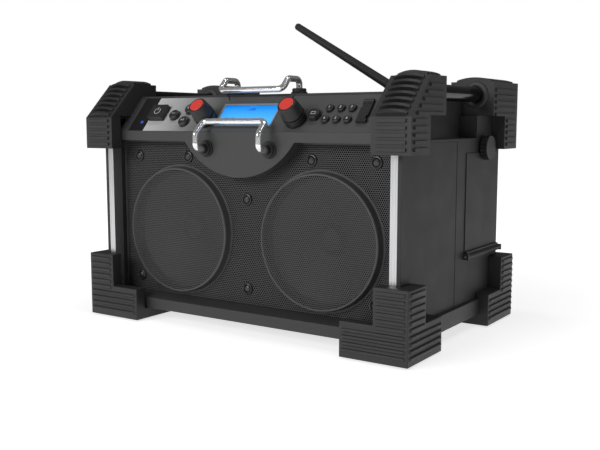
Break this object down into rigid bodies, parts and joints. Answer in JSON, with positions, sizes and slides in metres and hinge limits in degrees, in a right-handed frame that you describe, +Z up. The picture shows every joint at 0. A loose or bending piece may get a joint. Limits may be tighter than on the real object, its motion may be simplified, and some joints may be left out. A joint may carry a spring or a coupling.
{
  "type": "jobsite radio",
  "caption": "Rugged jobsite radio with ribbed rubber corner guards, side handles, grille with two speakers, control deck and side compartment.",
  "frame": {"origin": "floor point midway between the sides and between the front and rear guards", "axes": "+X to the right seen from the front, +Y from front to rear, +Z up"},
  "size_m": [0.4436, 0.2925, 0.3705],
  "materials": {
    "guard_rubber": "matte",
    "post_metal": "satin",
    "rail_plastic": "matte",
    "handle_black": "gloss",
    "shell_plastic": "matte",
    "fascia_plastic": "satin",
    "grille_metal": "matte",
    "screw_black": "satin",
    "frame_metal": "satin",
    "cone_black": "matte",
    "magnet_iron": "satin",
    "chrome_rod": "polished",
    "boss_rubber": "matte",
    "knob_black": "satin",
    "cap_red": "gloss",
    "button_rubber": "matte",
    "bezel_grey": "satin",
    "lens_clear": "gloss",
    "module_blue": "gloss",
    "lamp_blue": "gloss",
    "board_green": "satin",
    "pin_steel": "satin",
    "whip_rubber": "satin"
  },
  "bodies": {
    "cabinet": {"lower_guard_front_right": "guard_rubber", "lower_guard_front_left": "guard_rubber", "lower_guard_rear_right": "guard_rubber", "lower_guard_rear_left": "guard_rubber", "upper_guard_front_right": "guard_rubber", "upper_guard_front_left": "guard_rubber", "upper_guard_rear_right": "guard_rubber", "upper_guard_rear_left": "guard_rubber", "front_posts": "post_metal", "rear_posts": "post_metal", "front_rail": "rail_plastic", "base_tray": "rail_plastic", "handle_tube_right": "handle_black", "handle_tube_left": "handle_black", "front_shell": "shell_plastic", "rear_shell": "shell_plastic", "top_cover": "shell_plastic", "control_fascia": "fascia_plastic", "grille": "grille_metal", "grille_screws": "screw_black", "woofer_frames": "frame_metal", "woofer_cones": "cone_black", "woofer_magnets": "magnet_iron", "front_roll_bar": "chrome_rod", "top_roll_bar": "chrome_rod", "roll_bar_bosses": "boss_rubber", "display_bezel": "bezel_grey", "display_lens": "lens_clear", "display_module": "module_blue", "pilot_lamp": "lamp_blue", "control_board": "board_green", "hinge_pin": "pin_steel", "compartment_box": "shell_plastic", "antenna_socket": "shell_plastic", "rear_panel": "shell_plastic", "mains_inlet": "knob_black", "amplifier_board": "board_green", "power_transformer": "magnet_iron"},
    "volume_knob": {"volume_knob": "knob_black", "volume_cap": "cap_red"},
    "tuning_knob": {"tuning_knob": "knob_black", "tuning_cap": "cap_red"},
    "aux_flap": {"aux_flap": "boss_rubber"},
    "compartment_door": {"compartment_door": "shell_plastic"},
    "thumb_screw": {"thumb_screw": "knob_black"},
    "antenna_turret": {"antenna_turret": "knob_black"},
    "antenna_whip": {"antenna_whip": "whip_rubber"},
    "power_button": {"power_button": "button_rubber"},
    "mode_button": {"mode_button": "button_rubber"},
    "equalizer_button": {"equalizer_button": "button_rubber"},
    "menu_button": {"menu_button": "button_rubber"},
    "station_button": {"station_button": "button_rubber"},
    "preset_button_1": {"preset_button_1": "button_rubber"},
    "preset_button_2": {"preset_button_2": "button_rubber"},
    "preset_button_3": {"preset_button_3": "button_rubber"},
    "preset_button_4": {"preset_button_4": "button_rubber"},
    "preset_button_5": {"preset_button_5": "button_rubber"},
    "preset_button_6": {"preset_button_6": "button_rubber"}
  },
  "joints": [
    {"name": "volume_turn", "type": "hinge", "parent": "cabinet", "child": "volume_knob", "pos_m": [-0.0502, -0.11491, 0.24116], "axis": [0, -0.7547, 0.6561], "continuous": true},
    {"name": "tuning_turn", "type": "hinge", "parent": "cabinet", "child": "tuning_knob", "pos_m": [0.0717, -0.11491, 0.24116], "axis": [0, -0.7547, 0.6561], "continuous": true},
    {"name": "power_press", "type": "slide", "parent": "cabinet", "child": "power_button", "axis": [0, 0.7547, -0.6561], "range_m": [0, 0.001], "stiffness_N_per_m": 400, "springref_m": -0.001},
    {"name": "mode_press", "type": "slide", "parent": "cabinet", "child": "mode_button", "axis": [0, 0.7547, -0.6561], "range_m": [0, 0.001], "stiffness_N_per_m": 400, "springref_m": -0.001},
    {"name": "equalizer_press", "type": "slide", "parent": "cabinet", "child": "equalizer_button", "axis": [0, 0.7547, -0.6561], "range_m": [0, 0.001], "stiffness_N_per_m": 400, "springref_m": -0.001},
    {"name": "menu_press", "type": "slide", "parent": "cabinet", "child": "menu_button", "axis": [0, 0.7547, -0.6561], "range_m": [0, 0.001], "stiffness_N_per_m": 400, "springref_m": -0.001},
    {"name": "station_press", "type": "slide", "parent": "cabinet", "child": "station_button", "axis": [0, 0.7547, -0.6561], "range_m": [0, 0.001], "stiffness_N_per_m": 400, "springref_m": -0.001},
    {"name": "preset_1_press", "type": "slide", "parent": "cabinet", "child": "preset_button_1", "axis": [0, 0.7547, -0.6561], "range_m": [0, 0.001], "stiffness_N_per_m": 400, "springref_m": -0.001},
    {"name": "preset_2_press", "type": "slide", "parent": "cabinet", "child": "preset_button_2", "axis": [0, 0.7547, -0.6561], "range_m": [0, 0.001], "stiffness_N_per_m": 400, "springref_m": -0.001},
    {"name": "preset_3_press", "type": "slide", "parent": "cabinet", "child": "preset_button_3", "axis": [0, 0.7547, -0.6561], "range_m": [0, 0.001], "stiffness_N_per_m": 400, "springref_m": -0.001},
    {"name": "preset_4_press", "type": "slide", "parent": "cabinet", "child": "preset_button_4", "axis": [0, 0.7547, -0.6561], "range_m": [0, 0.001], "stiffness_N_per_m": 400, "springref_m": -0.001},
    {"name": "preset_5_press", "type": "slide", "parent": "cabinet", "child": "preset_button_5", "axis": [0, 0.7547, -0.6561], "range_m": [0, 0.001], "stiffness_N_per_m": 400, "springref_m": -0.001},
    {"name": "preset_6_press", "type": "slide", "parent": "cabinet", "child": "preset_button_6", "axis": [0, 0.7547, -0.6561], "range_m": [0, 0.001], "stiffness_N_per_m": 400, "springref_m": -0.001},
    {"name": "aux_flap_hinge", "type": "hinge", "parent": "cabinet", "child": "aux_flap", "pos_m": [0.1518, -0.10076, 0.26079], "axis": [-1, 0, 0], "range_deg": [0, 100]},
    {"name": "door_hinge", "type": "hinge", "parent": "cabinet", "child": "compartment_door", "pos_m": [0.2071, 0.07645, 0.0875], "axis": [0, 1, 0], "range_deg": [0, 100]},
    {"name": "thumb_screw_turn", "type": "hinge", "parent": "compartment_door", "child": "thumb_screw", "pos_m": [0.206, 0.07645, 0.2095], "axis": [1, 0, 0], "continuous": true},
    {"name": "antenna_swivel", "type": "hinge", "parent": "cabinet", "child": "antenna_turret", "pos_m": [0.0824, 0.1, 0.27], "axis": [0, 0, 1], "range_deg": [-90, 90]},
    {"name": "antenna_tilt", "type": "hinge", "parent": "antenna_turret", "child": "antenna_whip", "pos_m": [0.0824, 0.1, 0.277], "axis": [0, 1, 0], "range_deg": [-20, 60]}
  ]
}
